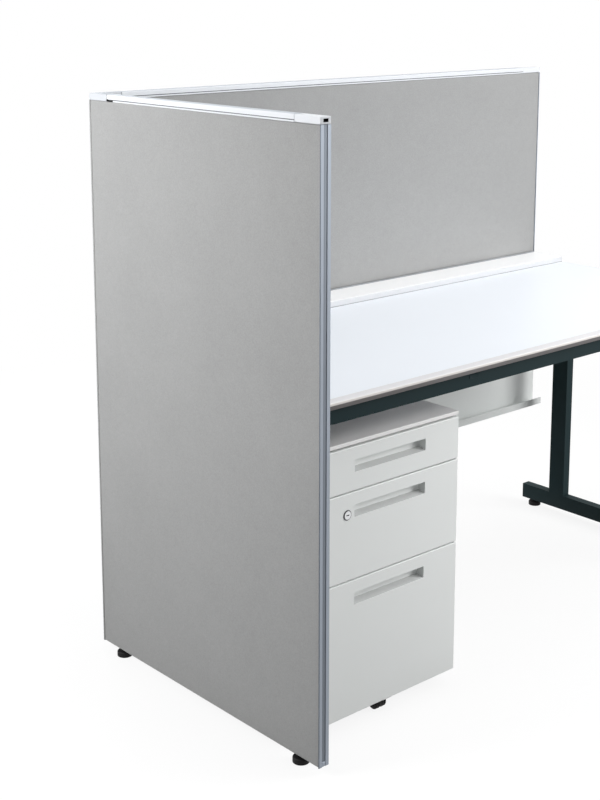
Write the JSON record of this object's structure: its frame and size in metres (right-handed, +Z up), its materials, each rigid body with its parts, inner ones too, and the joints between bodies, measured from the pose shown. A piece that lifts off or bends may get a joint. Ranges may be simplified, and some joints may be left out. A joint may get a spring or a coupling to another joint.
{
  "type": "office desk",
  "caption": "Office desk with a tall fabric end panel, a back screen over a hinged wiring flap, and a locking drawer pedestal on casters under a white top.",
  "frame": {"origin": "on the floor, under the middle of the desk's outer box", "axes": "+X along the desk from the end panel to the leg, +Y from the user to the screen, +Z up"},
  "size_m": [1.459, 0.725, 1.25],
  "materials": {
    "grey_fabric": "soft mottled grey cloth",
    "core_board": "raw particle board",
    "aluminium": "satin anodised",
    "silver_cap": "silver white satin paint",
    "white_laminate": "white laminate on board",
    "edge_moulding": "cream moulding, brown grey below",
    "dark_steel": "dark teal black powder coat",
    "white_steel": "off-white satin paint",
    "grey_steel": "light grey satin paint",
    "pedestal_board": "light grey laminate on board",
    "zinc_steel": "zinc plated",
    "lock_chrome": "polished",
    "black_plastic": "moulded black nylon"
  },
  "bodies": {
    "desk": {"end_panel_front_post": "aluminium", "end_panel_rear_post": "aluminium", "end_panel_core": "core_board", "end_panel_base_rail": "aluminium", "end_panel_outer_pad": "grey_fabric", "end_panel_inner_pad": "grey_fabric", "end_panel_top_rail": "silver_cap", "end_panel_front_cap": "silver_cap", "corner_connector": "silver_cap", "screen_core": "core_board", "screen_front_pad": "grey_fabric", "screen_rear_pad": "grey_fabric", "screen_end_post": "aluminium", "screen_top_rail": "silver_cap", "screen_end_cap": "silver_cap", "screen_base_channel": "aluminium", "desktop": "white_laminate", "desktop_front_edge": "edge_moulding", "end_panel_support_angle": "dark_steel", "front_beam": "dark_steel", "rear_beam": "dark_steel", "right_leg": "dark_steel", "wiring_duct": "grey_steel", "flap_hinge_rod": "zinc_steel", "modesty_panel": "grey_steel"},
    "end_panel_front_foot": {"end_panel_front_foot": "black_plastic"},
    "end_panel_rear_foot": {"end_panel_rear_foot": "black_plastic"},
    "right_leg_front_foot": {"right_leg_front_foot": "black_plastic"},
    "right_leg_rear_foot": {"right_leg_rear_foot": "black_plastic"},
    "wiring_flap": {"wiring_flap": "white_steel"},
    "pedestal": {"pedestal_top_board": "pedestal_board", "pedestal_case": "white_steel", "pedestal_base_plate": "zinc_steel", "pen_drawer_left_runner": "zinc_steel", "pen_drawer_right_runner": "zinc_steel", "box_drawer_left_runner": "zinc_steel", "box_drawer_right_runner": "zinc_steel", "file_drawer_left_runner": "zinc_steel", "file_drawer_right_runner": "zinc_steel"},
    "pen_drawer": {"pen_drawer_front": "white_steel", "pen_drawer_tray": "white_steel"},
    "box_drawer": {"box_drawer_front": "white_steel", "box_drawer_tray": "white_steel"},
    "file_drawer": {"file_drawer_front": "white_steel", "file_drawer_tray": "white_steel"},
    "file_slides": {"file_drawer_left_middle": "zinc_steel", "file_drawer_right_middle": "zinc_steel"},
    "lock": {"lock_cylinder": "lock_chrome"},
    "lock_bolt": {"lock_bolt": "zinc_steel"},
    "caster_front_left": {"caster_front_left_fork": "black_plastic"},
    "caster_front_left_wheel": {"caster_front_left_wheel": "black_plastic"},
    "caster_front_right": {"caster_front_right_fork": "black_plastic"},
    "caster_front_right_wheel": {"caster_front_right_wheel": "black_plastic"},
    "caster_rear_left": {"caster_rear_left_fork": "black_plastic"},
    "caster_rear_left_wheel": {"caster_rear_left_wheel": "black_plastic"},
    "caster_rear_right": {"caster_rear_right_fork": "black_plastic"},
    "caster_rear_right_wheel": {"caster_rear_right_wheel": "black_plastic"},
    "anti_tip_wheel": {"anti_tip_wheel": "black_plastic"}
  },
  "joints": [
    {"name": "end_panel_front_foot_screw", "type": "slide", "parent": "desk", "child": "end_panel_front_foot", "axis": [0, 0, 1], "range_m": [-0.012, 0]},
    {"name": "end_panel_rear_foot_screw", "type": "slide", "parent": "desk", "child": "end_panel_rear_foot", "axis": [0, 0, 1], "range_m": [-0.012, 0]},
    {"name": "right_leg_front_foot_screw", "type": "slide", "parent": "desk", "child": "right_leg_front_foot", "axis": [0, 0, 1], "range_m": [-0.012, 0]},
    {"name": "right_leg_rear_foot_screw", "type": "slide", "parent": "desk", "child": "right_leg_rear_foot", "axis": [0, 0, 1], "range_m": [-0.012, 0]},
    {"name": "wiring_flap_hinge", "type": "hinge", "parent": "desk", "child": "wiring_flap", "pos_m": [0, 0.3295, 0.7292], "axis": [-1, 0, 0], "range_deg": [0, 90]},
    {"name": "pedestal_roll", "type": "slide", "parent": "desk", "child": "pedestal", "axis": [0, -1, 0], "range_m": [0, 0.6]},
    {"name": "pen_drawer_slide", "type": "slide", "parent": "pedestal", "child": "pen_drawer", "axis": [0, -1, 0], "range_m": [0, 0.4]},
    {"name": "box_drawer_slide", "type": "slide", "parent": "pedestal", "child": "box_drawer", "axis": [0, -1, 0], "range_m": [0, 0.4]},
    {"name": "file_drawer_slide", "type": "slide", "parent": "pedestal", "child": "file_drawer", "axis": [0, -1, 0], "range_m": [0, 0.48]},
    {"name": "file_slides_run", "type": "slide", "parent": "pedestal", "child": "file_slides", "axis": [0, -1, 0], "range_m": [0, 0.24]},
    {"name": "lock_turn", "type": "hinge", "parent": "box_drawer", "child": "lock", "pos_m": [-0.576, -0.2803, 0.461], "axis": [0, 1, 0], "range_deg": [0, 90]},
    {"name": "lock_bolt_run", "type": "slide", "parent": "box_drawer", "child": "lock_bolt", "axis": [-1, 0, 0], "range_m": [0, 0.014]},
    {"name": "caster_front_left_swivel", "type": "hinge", "parent": "pedestal", "child": "caster_front_left", "pos_m": [-0.5915, -0.1945, 0.06], "axis": [0, 0, 1], "continuous": true},
    {"name": "caster_front_left_spin", "type": "hinge", "parent": "caster_front_left", "child": "caster_front_left_wheel", "pos_m": [-0.5915, -0.1805, 0.021], "axis": [1, 0, 0], "continuous": true},
    {"name": "caster_front_right_swivel", "type": "hinge", "parent": "pedestal", "child": "caster_front_right", "pos_m": [-0.3235, -0.1945, 0.06], "axis": [0, 0, 1], "continuous": true},
    {"name": "caster_front_right_spin", "type": "hinge", "parent": "caster_front_right", "child": "caster_front_right_wheel", "pos_m": [-0.3235, -0.1805, 0.021], "axis": [1, 0, 0], "continuous": true},
    {"name": "caster_rear_left_swivel", "type": "hinge", "parent": "pedestal", "child": "caster_rear_left", "pos_m": [-0.5915, 0.214, 0.06], "axis": [0, 0, 1], "continuous": true},
    {"name": "caster_rear_left_spin", "type": "hinge", "parent": "caster_rear_left", "child": "caster_rear_left_wheel", "pos_m": [-0.5915, 0.228, 0.021], "axis": [1, 0, 0], "continuous": true},
    {"name": "caster_rear_right_swivel", "type": "hinge", "parent": "pedestal", "child": "caster_rear_right", "pos_m": [-0.3235, 0.214, 0.06], "axis": [0, 0, 1], "continuous": true},
    {"name": "caster_rear_right_spin", "type": "hinge", "parent": "caster_rear_right", "child": "caster_rear_right_wheel", "pos_m": [-0.3235, 0.228, 0.021], "axis": [1, 0, 0], "continuous": true},
    {"name": "anti_tip_wheel_spin", "type": "hinge", "parent": "file_drawer", "child": "anti_tip_wheel", "pos_m": [-0.4575, -0.2465, 0.016], "axis": [1, 0, 0], "continuous": true}
  ],
  "couplings": [
    {"joint": "file_slides_run", "follows": "file_drawer_slide", "ratio": 0.5},
    {"joint": "lock_bolt_run", "follows": "lock_turn", "m_per_rad": 0.008912}
  ]
}
